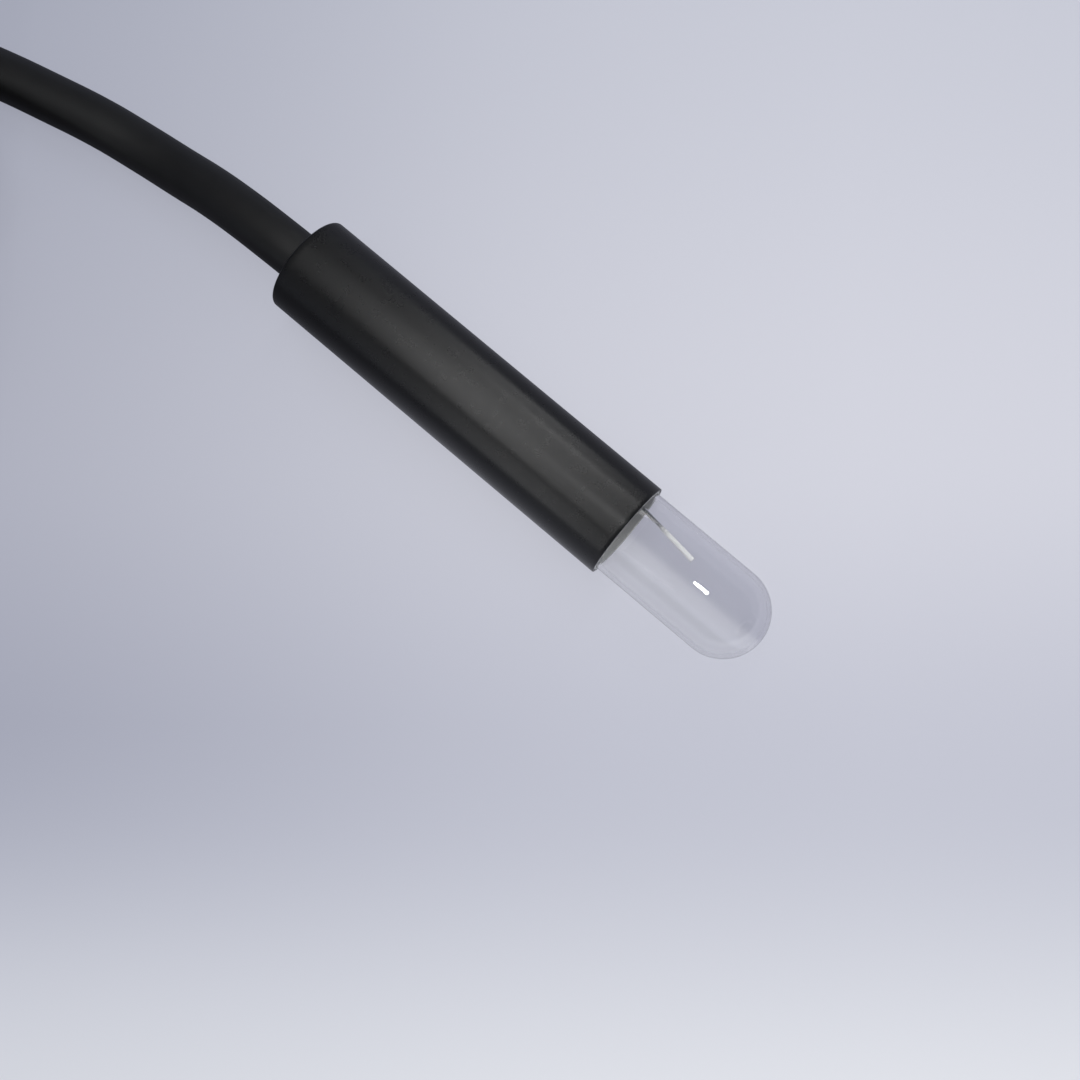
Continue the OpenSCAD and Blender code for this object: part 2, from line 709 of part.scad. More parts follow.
sleeve();
junction_ring();
glass_bulb();
fill_solution();
measuring_wire();
bulb_stopper();
reference_gel();
reference_wire();
chamber_bulkhead();
bulkhead_o_ring();
stem_o_ring();
wire_joint();
core_wire();
core_insulation();
shield_pigtail();
reference_joint();
cable_clamp();
potting();
lead_run();
lead_coil();
lead_tail();
coil_tie();
plug_boot();
crimp_ferrule();
plug_body();
contact_sleeve();
insulator();
centre_pin();
plug_core_insulation();
plug_core_wire();
plug_gasket();
coupling_nut();
thrust_washer();
spring_washer();
retaining_ring();
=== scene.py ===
# %% [markdown]
# # A pH electrode, dressed in Blender
#
# The electrode is a black moulded sleeve with a glass tube in its open end and a round lead in its closed
# one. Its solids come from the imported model, in metres, and lie where they belong: on the surface z = 0,
# with the glass tip towards +X. This script gives them their finish, and models again what needs smoother
# faces.

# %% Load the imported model
import json
from math import acos, cos, pi, radians, sin, sqrt, tan

import bmesh
import bpy
from mathutils import Matrix, Vector

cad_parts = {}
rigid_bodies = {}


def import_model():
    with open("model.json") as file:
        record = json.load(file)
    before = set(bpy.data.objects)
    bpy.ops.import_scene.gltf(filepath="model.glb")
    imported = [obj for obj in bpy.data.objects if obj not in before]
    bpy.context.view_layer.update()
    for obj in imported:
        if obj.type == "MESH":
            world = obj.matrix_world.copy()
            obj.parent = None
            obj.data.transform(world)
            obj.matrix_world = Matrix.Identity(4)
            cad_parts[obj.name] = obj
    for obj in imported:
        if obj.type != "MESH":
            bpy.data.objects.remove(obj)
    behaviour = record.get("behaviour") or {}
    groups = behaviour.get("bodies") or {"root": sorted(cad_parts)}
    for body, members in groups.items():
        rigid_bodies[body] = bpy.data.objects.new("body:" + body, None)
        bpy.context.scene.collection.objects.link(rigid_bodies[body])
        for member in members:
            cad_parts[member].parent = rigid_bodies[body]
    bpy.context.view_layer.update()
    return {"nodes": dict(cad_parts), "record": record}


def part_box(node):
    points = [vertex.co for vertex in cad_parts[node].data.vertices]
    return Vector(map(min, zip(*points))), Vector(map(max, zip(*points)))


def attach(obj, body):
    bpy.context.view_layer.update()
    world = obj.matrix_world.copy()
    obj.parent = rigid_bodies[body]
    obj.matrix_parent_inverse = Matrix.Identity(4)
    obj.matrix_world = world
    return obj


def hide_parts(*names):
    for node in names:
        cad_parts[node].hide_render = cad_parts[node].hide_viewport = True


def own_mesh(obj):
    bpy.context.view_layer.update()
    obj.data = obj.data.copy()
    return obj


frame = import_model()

ROOT = "electrode"
MM = 0.001

# %% [markdown]
# The main sizes are read from the solids, so that the two never disagree. The sleeve's box gives its two
# ends, its radius and the height of its axis. The glass gives its own radius and its tip.

# %% Read the electrode's own sizes
sleeve_low, sleeve_high = (Vector(corner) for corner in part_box("sleeve"))
glass_low, glass_high = (Vector(corner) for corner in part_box("glass_bulb"))
back_x, mouth_x, tip_x = sleeve_low.x, sleeve_high.x, glass_high.x
sleeve_r = (sleeve_high.y - sleeve_low.y) / 2
glass_r = (glass_high.y - glass_low.y) / 2
axis_z = (sleeve_high.z + sleeve_low.z) / 2
mouth = Vector((mouth_x, 0, axis_z))
print("sleeve", round((mouth_x - back_x) / MM, 2), "mm long")
print("glass stands out", round((tip_x - mouth_x) / MM, 2), "mm")

# %% [markdown]
# The camera looks down on the electrode from above and a little to one side. Its place was worked out
# from the outline in the photograph: the sleeve narrows by 3% from its mouth to its closed end, and the
# mouth is turned 5 degrees towards the viewer, which together fix how far away the camera stood.

# %% Place the camera
CAMERA_AZIMUTH = radians(40.69)
CAMERA_ELEVATION = radians(78.97)
CAMERA_FROM_MOUTH = Vector((14.19, -31.48, 164.58)) * MM

camera_data = bpy.data.cameras.new("camera")
camera_data.lens = 50
camera_data.sensor_width = 36
camera = bpy.data.objects.new("camera", camera_data)
bpy.context.scene.collection.objects.link(camera)
camera.location = mouth + CAMERA_FROM_MOUTH
towards_camera = Vector((sin(CAMERA_AZIMUTH) * cos(CAMERA_ELEVATION),
                         -cos(CAMERA_AZIMUTH) * cos(CAMERA_ELEVATION), sin(CAMERA_ELEVATION)))
camera.rotation_euler = towards_camera.to_track_quat("Z", "Y").to_euler()
bpy.context.scene.camera = camera
print("camera height", round(camera.location.z / MM, 1), "mm")

# %% [markdown]
# The lead is one round cable, 6 mm thick. It leaves the sleeve at its axis, sinks to the surface within
# 26 mm and bends gently. What the photograph does not show of it is wound into a long coil with the plug
# inside. Each point of the way out is given from the exit as [along X, along Y, share of the height still
# to fall], and each point of the way to the plug from the coil's far bend, all in millimetres.

# %% Route of the lead
exit_point = Vector((back_x, 0, axis_z))
lead_r = 3 * MM
run_route = [[-5, -0.08, 0.97], [-10, -0.18, 0.82], [-15, -0.38, 0.54], [-20, -0.8, 0.2], [-26, -1.45, 0],
             [-32, -2.4, 0], [-39, -4, 0], [-46, -5.8, 0], [-54, -8.3, 0], [-61, -10.6, 0], [-67, -12.2, 0],
             [-73, -13, 0]]
tail_route = [[-5.1, -12.7, 0], [-0.5, -13.5, 0], [4.1, -12.7, 0.02], [7.2, -11.1, 0.12],
              [12.2, -7.6, 0.52], [17.2, -4.1, 0.85], [19.8, -2.6, 0.95], [22.6, -1.8, 1]]
coil_r, coil_run = 17 * MM, 58 * MM
near_bend = Vector((back_x - 55 * MM, -33 * MM, 0))
far_bend = near_bend - Vector((coil_run, 0, 0))
plug_start = far_bend + Vector((25.3, -1.5, 7.25)) * MM


def run_point(p):
    """A point of the way out to the coil."""
    return Vector((back_x + p[0] * MM, p[1] * MM, lead_r + (axis_z - lead_r) * p[2]))


def tail_point(p):
    """A point of the way from the coil to the plug."""
    return far_bend + Vector((p[0] * MM, p[1] * MM, lead_r + (plug_start.z - lead_r) * p[2]))


# %% [markdown]
# The turns lie two by two, like the corners of a square: outside and inside, low and high. Each time the
# lead comes round the near bend, all its strands move on by one corner together, so that they never cut
# into each other. The first strand is the outer low one and the last the inner low one, which runs to the
# plug. Under the strap the strands are lifted by the strap's own thickness. The lead comes in 25 mm along
# the first strand, and leaves after three laps, one more straight side and 142 degrees of the far bend.

# %% Turns of the coil
ROLL_LENGTH, ROLL_BEFORE = 24 * MM, 22 * MM
TIE_REACH, TIE_SLOPE = 16 * MM, 10 * MM
tie_t = 0.8 * MM
corner_r = sqrt(2) * lead_r
bend_length = pi * coil_r
lap = 2 * (coil_run + bend_length)


def smooth_step(t):
    """0 before 0, 1 after 1, and a smooth rise between."""
    t = max(0.0, min(1.0, t))
    return t * t * (3 - 2 * t)


def coil_point(along):
    """A point of the coil, that far along the middle of its turns from the end of the near bend."""
    rolled = sum(smooth_step((along - n * lap + ROLL_BEFORE) / ROLL_LENGTH) for n in (1, 2, 3))
    corner = radians(-45 + 90 * rolled)
    r = coil_r + corner_r * cos(corner)
    z = 2 * lead_r + corner_r * sin(corner)
    u = along % lap
    if u < coil_run:
        z += tie_t * smooth_step((TIE_REACH - abs(u - coil_run / 2)) / TIE_SLOPE)
        return near_bend + Vector((-u, r, z))
    if u < coil_run + bend_length:
        turn = pi / 2 + (u - coil_run) / coil_r
        return far_bend + Vector((r * cos(turn), r * sin(turn), z))
    if u < 2 * coil_run + bend_length:
        return far_bend + Vector((u - coil_run - bend_length, -r, z))
    turn = 1.5 * pi + (u - 2 * coil_run - bend_length) / coil_r
    return near_bend + Vector((r * cos(turn), r * sin(turn), z))


COIL_ENTRY = 25 * MM
LAST_TURN = radians(142)
STEPS = 168
INTO_SLEEVE, INTO_BOOT = 6.9 * MM, 8 * MM
coil_from = COIL_ENTRY
coil_to = 3 * lap + coil_run + coil_r * LAST_TURN
coil_points = [coil_point(coil_from + (coil_to - coil_from) * i / STEPS) for i in range(STEPS + 1)]
jacket_start = exit_point + Vector((INTO_SLEEVE, 0, 0))
jacket_stop = plug_start + Vector((INTO_BOOT, 0, 0))
route = ([jacket_start, exit_point] + [run_point(p) for p in run_route] + coil_points
         + [tail_point(p) for p in tail_route] + [plug_start, jacket_stop])

# %% [markdown]
# A cable could be a swept mesh, but a curve with a round bevel stays a cable: its points can be moved
# later and its thickness follows. Here each point carries its own radius, so a wire can also grow thicker
# along its way.

# %% A helper for cables and wires
STEPS_PER_KNOT, STEPS_ROUND = 5, 6


def tube_curve(name, points, radius, kind="BEZIER"):
    """One open curve through points, with a round section. Its bevel of 1 m is scaled down by radius."""
    curve = bpy.data.curves.new(name, "CURVE")
    curve.dimensions = "3D"
    curve.resolution_u = STEPS_PER_KNOT
    curve.bevel_depth = 1
    curve.bevel_resolution = STEPS_ROUND
    curve.use_fill_caps = True
    spline = curve.splines.new(kind)
    if kind == "BEZIER":
        spline.bezier_points.add(len(points) - 1)
        for knot, point in zip(spline.bezier_points, points):
            knot.co = point
            knot.radius = radius
            knot.handle_left_type = knot.handle_right_type = "AUTO"
    else:
        spline.points.add(len(points) - 1)
        for knot, point in zip(spline.points, points):
            knot.co = (*point, 1)
            knot.radius = radius
    obj = bpy.data.objects.new(name, curve)
    bpy.context.scene.collection.objects.link(obj)
    return obj


# %% [markdown]
# The real lead is one jacket from the sleeve to the plug, so it is one curve, though its solids are
# three. Its ends run on inside the sleeve and inside the boot, where no one sees that they are cut.

# %% Lead
lead = tube_curve("lead", route, lead_r)
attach(lead, ROOT)
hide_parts("lead_run", "lead_coil", "lead_tail")

# %% [markdown]
# Nearly every other piece is turned: it is the same all round one axis. The lathe below starts with a
# circle, extrudes its edge ring by ring along X and scales each new ring, just as a profile is worked by
# hand in edit mode. A profile that closes on itself gives a tube, and an open one is closed by a fan of
# faces at each end.

# %% A lathe for turned pieces
SIDES = 144


def deselect():
    """Back to object mode with nothing selected, since an operator acts on all that is selected."""
    if bpy.context.mode != "OBJECT":
        bpy.ops.object.mode_set(mode="OBJECT")
    bpy.ops.object.select_all(action="DESELECT")


def turned(name, rings, centre, sides=SIDES, closed=True, smooth=35):
    """A piece turned about X. Each ring is (distance from centre along X, radius), in millimetres."""
    deselect()
    x, r = rings[0]
    bpy.ops.mesh.primitive_circle_add(vertices=sides, radius=r * MM, fill_type="NOTHING",
                                      rotation=(0, pi / 2, 0), location=centre + Vector((x * MM, 0, 0)))
    obj = bpy.context.object
    obj.name = name
    bpy.ops.object.transform_apply(location=True, rotation=True, scale=True)
    bpy.ops.object.mode_set(mode="EDIT")
    bpy.ops.mesh.select_all(action="SELECT")
    for (x0, r0), (x1, r1) in zip(rings, rings[1:]):
        bpy.ops.mesh.extrude_edges_move(TRANSFORM_OT_translate={"value": ((x1 - x0) * MM, 0, 0)})
        if abs(r1 - r0) > 1e-9:
            bpy.ops.transform.resize(value=(1, r1 / r0, r1 / r0), center_override=centre)
    if closed:
        bpy.ops.mesh.select_all(action="DESELECT")
        bpy.ops.mesh.select_non_manifold()
        bpy.ops.mesh.bridge_edge_loops()
    else:
        close_poles()
    bpy.ops.mesh.select_all(action="SELECT")
    bpy.ops.mesh.remove_doubles(threshold=1e-7)
    bpy.ops.mesh.normals_make_consistent(inside=False)
    bpy.ops.object.mode_set(mode="OBJECT")
    bpy.ops.object.shade_smooth_by_angle(angle=radians(smooth))
    return obj


def close_poles():
    """Fills the two open rings of the mesh in edit mode, each with a fan round its middle."""
    bpy.ops.mesh.select_all(action="DESELECT")
    bpy.ops.mesh.select_non_manifold()
    bpy.ops.mesh.edge_face_add()
    bpy.ops.mesh.poke()


def arc(x, r, radius, start, stop, steps):
    """Rings of a profile's round edge about (x, r). Its angles start at +X and turn to larger radii."""
    angles = [radians(start + (stop - start) * i / steps) for i in range(steps + 1)]
    return [(x + radius * cos(a), r + radius * sin(a)) for a in angles]


print("facets of the sleeve:", round(2 * pi * sleeve_r / SIDES / MM, 2), "mm wide")

# %% [markdown]
# The sleeve is one moulded tube. Its closed end is flat with a hardly rounded edge, and round the mouth
# its wall thins to a lip that holds the porous ring. A cylinder with bevelled edges could show its
# outside, but not the lip, the seat behind it or the hole for the lead, so it is turned from one profile.
# The lip has a tiny bevel, since a real moulded edge always catches a thin line of light. The long wall
# is cut into rings close to both bevels, so that smooth shading has no reason to tilt the wall's own
# highlight there.

# %% Sleeve
SLEEVE_L, END_WALL, WALL, LIP, SEAT = 48.4, 2.4, 0.6, 0.3, 4
LEAD_HOLE_R, END_EDGE, LIP_EDGE = 3.02, 0.3, 0.06
outer_r = sleeve_r / MM
closed_end = ([(-SLEEVE_L, LEAD_HOLE_R), (-SLEEVE_L, 4.5)]
              + arc(END_EDGE - SLEEVE_L, outer_r - END_EDGE, END_EDGE, 180, 90, 6))
long_wall = [(x, outer_r) for x in (-47.5, -40, -32, -24, -16, -8, -0.5)]
lip = (arc(-LIP_EDGE, outer_r - LIP_EDGE, LIP_EDGE, 90, 0, 3)
       + [(0, outer_r - LIP + 0.05), (-0.05, outer_r - LIP), (-SEAT, outer_r - LIP)])
inside = [(-SEAT, outer_r - WALL), (END_WALL - SLEEVE_L, outer_r - WALL),
          (END_WALL - SLEEVE_L, LEAD_HOLE_R)]
sleeve = turned("sleeve_shell", closed_end + long_wall + lip + inside, mouth)
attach(sleeve, ROOT)
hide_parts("sleeve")
print("sleeve:", len(sleeve.data.polygons), "faces")

# %% [markdown]
# The porous ring fills the gap between the lip and the glass. The electrode's reference side wets the
# sample through it, so it has to reach the mouth. A torus could stand for it, but the real ring is a
# length of tube with flat ends, so it is turned as well, with its two outer edges barely broken.

# %% Junction ring
RING_IN, RING_OUT, RING_EDGE = 5.39, 5.68, 0.06
ring = turned("junction_band", [(-RING_EDGE, RING_IN), (0, RING_IN + RING_EDGE), (0, RING_OUT - RING_EDGE),
                                (-RING_EDGE, RING_OUT), (-SEAT, RING_OUT), (-SEAT, RING_IN)], mouth)
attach(ring, ROOT)
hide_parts("junction_ring")
print("ring:", round(RING_OUT - RING_IN, 2), "mm wide")

# %% [markdown]
# The glass is blown from one tube: wide with a round end outside, necked down to a narrow stem inside the
# sleeve. One closed shell has both faces of its wall. The outer face meets air. The inner face meets the
# solution, which bends light almost as glass does, so that face gets a material of its own: its index is
# the glass's divided by the solution's. The shell then stands for the solution too, with no second skin
# to flicker.

# %% Glass
GLASS_SIDES = 192
glass_mm, wall_mm, stem_mm = glass_r / MM, 0.5, 3
reach_mm = (tip_x - mouth_x) / MM
neck = (glass_mm - stem_mm) / 2
dome_x = reach_mm - glass_mm
shoulder_x = -SEAT - 2 * neck
rim_x = -33.6


def glass_rings(inset):
    """The glass's profile, moved inwards by inset, from near the pole of its tip to the rim of its stem."""
    r = glass_mm - inset
    dome = arc(dome_x, 0, r, 1.5, 90, 30)
    tube = [(dome_x * (1 - i / 6), r) for i in range(1, 7)]
    turn_in = arc(-SEAT, glass_mm - neck, neck - inset, 90, 180, 8)
    turn_out = arc(shoulder_x, stem_mm + neck, neck + inset, 0, -90, 8)[1:]
    return dome + tube + turn_in + turn_out + [(rim_x, stem_mm - inset)]


both_walls = glass_rings(0) + glass_rings(wall_mm)[::-1]
glass = turned("glass_tube", both_walls, mouth, sides=GLASS_SIDES, closed=False, smooth=60)
dome_centre = mouth + Vector((dome_x * MM, 0, 0))
for face in glass.data.polygons:
    out = face.center - dome_centre
    around = Vector((0, out.y, out.z))
    inner = out.length < (glass_mm - wall_mm / 2) * MM if out.x > 0 else face.normal.dot(around) < 0
    face.material_index = 1 if inner else 0
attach(glass, ROOT)
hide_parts("glass_bulb", "fill_solution")
inner_faces = sum(face.material_index for face in glass.data.polygons)
print("glass:", len(glass.data.polygons), "faces,", inner_faces, "of them inside")

# %% [markdown]
# The measuring wire is half a millimetre thick and polished. It comes up the stem along the axis, bends
# outwards where the glass widens and inwards again just behind the mouth, and its tip is cut square and a
# little spread by the cutter. A smooth curve would bow between its bends, where real wire lies straight.
# So it is a polygon curve, whose two bends are laid in as short arcs.

# %% Measuring wire
WIRE_R = 0.25 * MM
WIRE_TURN = radians(8)
TIP_SPREAD = 1.3
BEND_R = 0.8
wire_side = Vector((0, cos(WIRE_TURN), sin(WIRE_TURN)))
wire_corners = [(-38.5, 0), (-SEAT - 2 * neck - 0.5, 0), (-2.5, 3.35), (7.7, 2.15)]


def bent(corners, radius, steps=8):
    """Points of a wire through corners in a plane, each inner one with a bend of that radius."""
    points = [Vector(corners[0])]
    for before, here, after in zip(corners, corners[1:], corners[2:]):
        here = Vector(here)
        back, on = (Vector(before) - here).normalized(), (Vector(after) - here).normalized()
        half = acos(max(-1, min(1, back.dot(on)))) / 2
        reach = radius / tan(half)
        first, last = here + reach * back, here + reach * on
        centre = here + (back + on).normalized() * radius / sin(half)
        for i in range(steps + 1):
            p = first.lerp(last, i / steps) - centre
            points.append(centre + p.normalized() * radius)
    return points + [Vector(corners[-1])]


wire_points = [mouth + Vector((p.x * MM, 0, 0)) + wire_side * p.y * MM for p in bent(wire_corners, BEND_R)]
wire = tube_curve("silver_wire", wire_points, WIRE_R, kind="POLY")
wire.data.splines[0].points[-1].radius = TIP_SPREAD * WIRE_R
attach(wire, ROOT)
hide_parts("measuring_wire")
wire_reach = wire_points[-1].x - mouth_x
print("wire:", len(wire_points), "points, ends", round(wire_reach / MM, 2), "mm past the mouth")

# %% [markdown]
# A strap of hook-and-loop tape holds the coil on the middle of its straight side. It goes once round the
# four strands, and its end lies over its start. Faces and edges are picked by their place or direction,
# as a hand would pick them on the screen, so the script needs a helper for that first.

# %% A helper that picks faces or edges
def pick(obj, kind, wanted):
    """Selects the faces or edges of obj, in edit mode, for which wanted(element) is true."""
    bpy.ops.mesh.select_all(action="DESELECT")
    mesh = bmesh.from_edit_mesh(obj.data)
    count = 0
    for element in getattr(mesh, kind):
        if wanted(element):
            element.select_set(True)
            count += 1
    mesh.select_flush_mode()
    bmesh.update_edit_mesh(obj.data)
    return count


strap_low, strap_high = (Vector(corner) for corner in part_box("coil_tie"))
strap_size = strap_high - strap_low
print("strap's box:", [round(v / MM, 1) for v in strap_size], "mm")

# %% [markdown]
# The strap could be swept along a path round the coil, but a block that is opened, rounded and thickened
# gets there in fewer steps and keeps the tape flat. It begins as a block of its own outer size. Its two
# open sides are deleted, which leaves a square band, and the band's long edges are bevelled to little
# more than the strands' radius, so that it hugs them.

# %% Strap's band
STRAP_BEND = 3.6 * MM
deselect()
bpy.ops.mesh.primitive_cube_add(size=1, location=(strap_low + strap_high) / 2)
strap = bpy.context.object
strap.name = "strap_band"
strap.scale = strap_size
bpy.ops.object.transform_apply(location=True, rotation=True, scale=True)
bpy.ops.object.mode_set(mode="EDIT")
bpy.ops.mesh.select_mode(type="FACE")
pick(strap, "faces", lambda f: abs(f.normal.x) > 0.9)
bpy.ops.mesh.delete(type="ONLY_FACE")
bpy.ops.mesh.select_mode(type="EDGE")
long_edges = pick(strap, "edges", lambda e: abs((e.verts[0].co - e.verts[1].co).x) > strap_size.x / 2)
print("edges to round:", long_edges)
bpy.ops.mesh.bevel(offset=STRAP_BEND, segments=8, affect="EDGES")

# %% [markdown]
# The strap's end is a second layer over its top and one side. Those faces are copied and moved outwards
# by the strap's thickness. Solidify then turns both layers to cloth inwards, and a bevel takes off their
# hard edges.

# %% Strap's flap and thickness
STRAP_T, STRAP_EDGE = 0.7 * MM, 0.15 * MM
bpy.ops.mesh.select_mode(type="FACE")
flap = pick(strap, "faces", lambda f: f.normal.z > -0.01 and f.normal.y > -0.01)
bpy.ops.mesh.duplicate_move()
bpy.ops.transform.shrink_fatten(value=STRAP_T)
bpy.ops.object.mode_set(mode="OBJECT")
band = strap.modifiers.new("band", "SOLIDIFY")
band.thickness = STRAP_T
band.offset = -1
edge = strap.modifiers.new("edge", "BEVEL")
edge.width = STRAP_EDGE
edge.segments = 2
edge.angle_limit = radians(50)
for modifier in list(strap.modifiers):
    bpy.ops.object.modifier_apply(modifier=modifier.name)
bpy.ops.object.shade_smooth_by_angle(angle=radians(40))
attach(strap, ROOT)
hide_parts("coil_tie")
print("strap:", len(strap.data.polygons), "faces,", flap, "of them under the flap")

# %% [markdown]
# The wave spring lies between the nut's washer and its retaining ring. As the nut is pushed forwards, the
# spring flattens against that ring. It could be turned flat and then bent in waves, but the solid's mesh
# already has its three waves, so a copy of it is enough. Its loose triangles are merged.

# %% Wave spring
deselect()
spring = frame["nodes"]["spring_washer"].copy()
spring.data = spring.data.copy()
spring.name = "wave_spring"
bpy.context.scene.collection.objects.link(spring)
spring.select_set(True)
bpy.context.view_layer.objects.active = spring
bpy.ops.object.parent_clear(type="CLEAR_KEEP_TRANSFORM")
bpy.ops.object.transform_apply(location=True, rotation=True, scale=True)
bpy.ops.object.mode_set(mode="EDIT")
bpy.ops.mesh.select_all(action="SELECT")
bpy.ops.mesh.remove_doubles(threshold=1e-6)
bpy.ops.object.mode_set(mode="OBJECT")
bpy.ops.object.shade_smooth_by_angle(angle=radians(40))
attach(spring, ROOT)
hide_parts("spring_washer")
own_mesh(spring)

# %% [markdown]
# The lead's real length, with its coil and its way to the plug, is about 0.9 m, or 3 feet, as such
# electrodes have.

# %% [markdown]
# A finish is never one flat colour. Each one below has a slow noise that shifts its tone a little, a
# finer noise that varies its roughness, and a grain that dents the surface. One helper builds them all,
# so that a finish is only a line of numbers. All three noises read Object coordinates, in metres, so a
# scale of 1000 gives a grain of about a millimetre.

# %% A helper for finishes
PLAIN_INDEX = 1.46


def finish(name, colour, roughness, metallic=0.0, tone=0.08, spread=0.06, grain=2500, depth=0.02,
           blotch=120, stretch=(1, 1, 1), sheen=0.0):
    """A surface of that colour, varied by tone and spread, with grain bumps per metre, depth mm high."""
    mat = bpy.data.materials.new(name)
    mat.use_nodes = True
    tree = mat.node_tree
    shader = tree.nodes["Principled BSDF"]
    shader.inputs["Metallic"].default_value = metallic
    shader.inputs["IOR"].default_value = PLAIN_INDEX
    shader.inputs["Sheen Weight"].default_value = sheen
    place = tree.nodes.new("ShaderNodeTexCoord")
    lay = tree.nodes.new("ShaderNodeMapping")
    lay.inputs["Scale"].default_value = stretch
    tree.links.new(place.outputs["Object"], lay.inputs["Vector"])

    def noise(scale, detail):
        node = tree.nodes.new("ShaderNodeTexNoise")
        node.inputs["Scale"].default_value = scale
        node.inputs["Detail"].default_value = detail
        tree.links.new(lay.outputs["Vector"], node.inputs["Vector"])
        return node.outputs["Fac"]

    ramp = tree.nodes.new("ShaderNodeValToRGB")
    for stop, share in zip(ramp.color_ramp.elements, (1 - tone, 1 + tone)):
        stop.color = (*(min(1, c * share) for c in colour[:3]), 1)
    ramp.color_ramp.elements[0].position, ramp.color_ramp.elements[1].position = 0.35, 0.65
    tree.links.new(noise(blotch, 4), ramp.inputs["Fac"])
    tree.links.new(ramp.outputs["Color"], shader.inputs["Base Color"])
    rough = tree.nodes.new("ShaderNodeMapRange")
    rough.inputs["To Min"].default_value = max(0, roughness - spread)
    rough.inputs["To Max"].default_value = min(1, roughness + spread)
    tree.links.new(noise(grain / 4, 5), rough.inputs["Value"])
    tree.links.new(rough.outputs["Result"], shader.inputs["Roughness"])
    bump = tree.nodes.new("ShaderNodeBump")
    bump.inputs["Strength"].default_value = 0.5
    bump.inputs["Distance"].default_value = depth * MM
    tree.links.new(noise(grain, 3), bump.inputs["Height"])
    tree.links.new(bump.outputs["Normal"], shader.inputs["Normal"])
    return mat


print("plain materials that came with the solids:", len(bpy.data.materials))

# %% [markdown]
# Glass and gel let light through, and bend it by their index. Blender's glass also throws a dark shadow,
# which would leave the ring and the wire inside it in the dark, so a shadow ray simply passes.

# %% A helper for clear finishes
GLASS_INDEX, GEL_INDEX = 1.47, 1.34


def clear(mat, ior):
    """Makes a finish see-through, with that index. Its shadow is clear, so lamps light what is inside."""
    tree = mat.node_tree
    shader = tree.nodes["Principled BSDF"]
    shader.inputs["Transmission Weight"].default_value = 1
    shader.inputs["IOR"].default_value = ior
    rays = tree.nodes.new("ShaderNodeLightPath")
    open_way = tree.nodes.new("ShaderNodeBsdfTransparent")
    either = tree.nodes.new("ShaderNodeMixShader")
    tree.links.new(rays.outputs["Is Shadow Ray"], either.inputs["Fac"])
    tree.links.new(shader.outputs["BSDF"], either.inputs[1])
    tree.links.new(open_way.outputs["BSDF"], either.inputs[2])
    tree.links.new(either.outputs["Shader"], tree.nodes["Material Output"].inputs["Surface"])
    return mat


print("index of glass against the solution:", round(GLASS_INDEX / GEL_INDEX, 3))

# %% [markdown]
# The electrode's own finishes: satin black plastic for the sleeve, a duller and slightly uneven jacket
# for the lead, and a chalky grey ring. The gels are clear, and the parts behind the sleeve have plain
# working finishes.

# %% Finishes of the electrode
finishes = {
    "sleeve_plastic": finish("sleeve_plastic", (0.004, 0.004, 0.0043), 0.28, tone=0.1, spread=0.03,
                             grain=3000, depth=0.006),
    "lead_jacket": finish("lead_jacket", (0.005, 0.005, 0.0053), 0.42, tone=0.12, grain=2200, depth=0.01),
    "junction_ceramic": finish("junction_ceramic", (0.8, 0.8, 0.78), 0.85, tone=0.15, grain=5000,
                               depth=0.03),
    "silver_wire": finish("silver_wire", (0.93, 0.93, 0.93), 0.12, 1.0, tone=0.03, spread=0.04, grain=6000,
                          depth=0.002, stretch=(0.1, 1, 1)),
    "stopper_rubber": finish("stopper_rubber", (0.38, 0.36, 0.32), 0.7),
    "reference_gel": clear(finish("reference_gel", (0.85, 0.85, 0.78), 0.1, depth=0.001), GEL_INDEX),
    "clear_gel": clear(finish("clear_gel", (0.95, 0.97, 1), 0.02, tone=0.01, spread=0.01, depth=0.001),
                       GEL_INDEX),
    "bulkhead_plastic": finish("bulkhead_plastic", (0.5, 0.5, 0.52), 0.45),
    "seal_rubber": finish("seal_rubber", (0.02, 0.02, 0.02), 0.6),
    "joint_brass": finish("joint_brass", (0.62, 0.46, 0.2), 0.3, 1.0, grain=4000, depth=0.004),
    "copper_wire": finish("copper_wire", (0.72, 0.36, 0.2), 0.28, 1.0, grain=5000, depth=0.004),
    "white_plastic": finish("white_plastic", (0.75, 0.75, 0.73), 0.45, tone=0.03),
    "clamp_steel": finish("clamp_steel", (0.55, 0.56, 0.57), 0.32, 1.0, grain=4000, depth=0.004),
    "potting_resin": finish("potting_resin", (0.05, 0.05, 0.055), 0.25, tone=0.2),
}
print("finishes:", len(finishes))

# %% [markdown]
# The plug's finishes are metal for the most part. Nickel is pale and slightly warm, and its grain is
# drawn out along the plug. The contacts are gilt, the boot is rubber, and the strap's hook-and-loop tape
# has a deep fine grain with a sheen, as cloth has.

# %% Finishes of the plug and the strap
finishes.update({
    "tie_strap": finish("tie_strap", (0.012, 0.012, 0.013), 0.95, tone=0.35, grain=4500, depth=0.35,
                        blotch=900, sheen=0.4),
    "boot_rubber": finish("boot_rubber", (0.018, 0.018, 0.019), 0.62, tone=0.1, grain=2600, depth=0.012),
    "plug_nickel": finish("plug_nickel", (0.84, 0.82, 0.78), 0.34, 1.0, tone=0.05, spread=0.07, grain=4000,
                          depth=0.004, stretch=(0.2, 1, 1)),
    "contact_gold": finish("contact_gold", (0.83, 0.61, 0.28), 0.22, 1.0, tone=0.04, grain=4000,
                           depth=0.003),
    "insulator_white": finish("insulator_white", (0.8, 0.8, 0.78), 0.4, tone=0.02, grain=1800, depth=0.008),
    "gasket_silicone": finish("gasket_silicone", (0.35, 0.06, 0.035), 0.6, tone=0.08),
    "washer_steel": finish("washer_steel", (0.5, 0.51, 0.52), 0.3, 1.0, tone=0.05, grain=5000, depth=0.003),
})
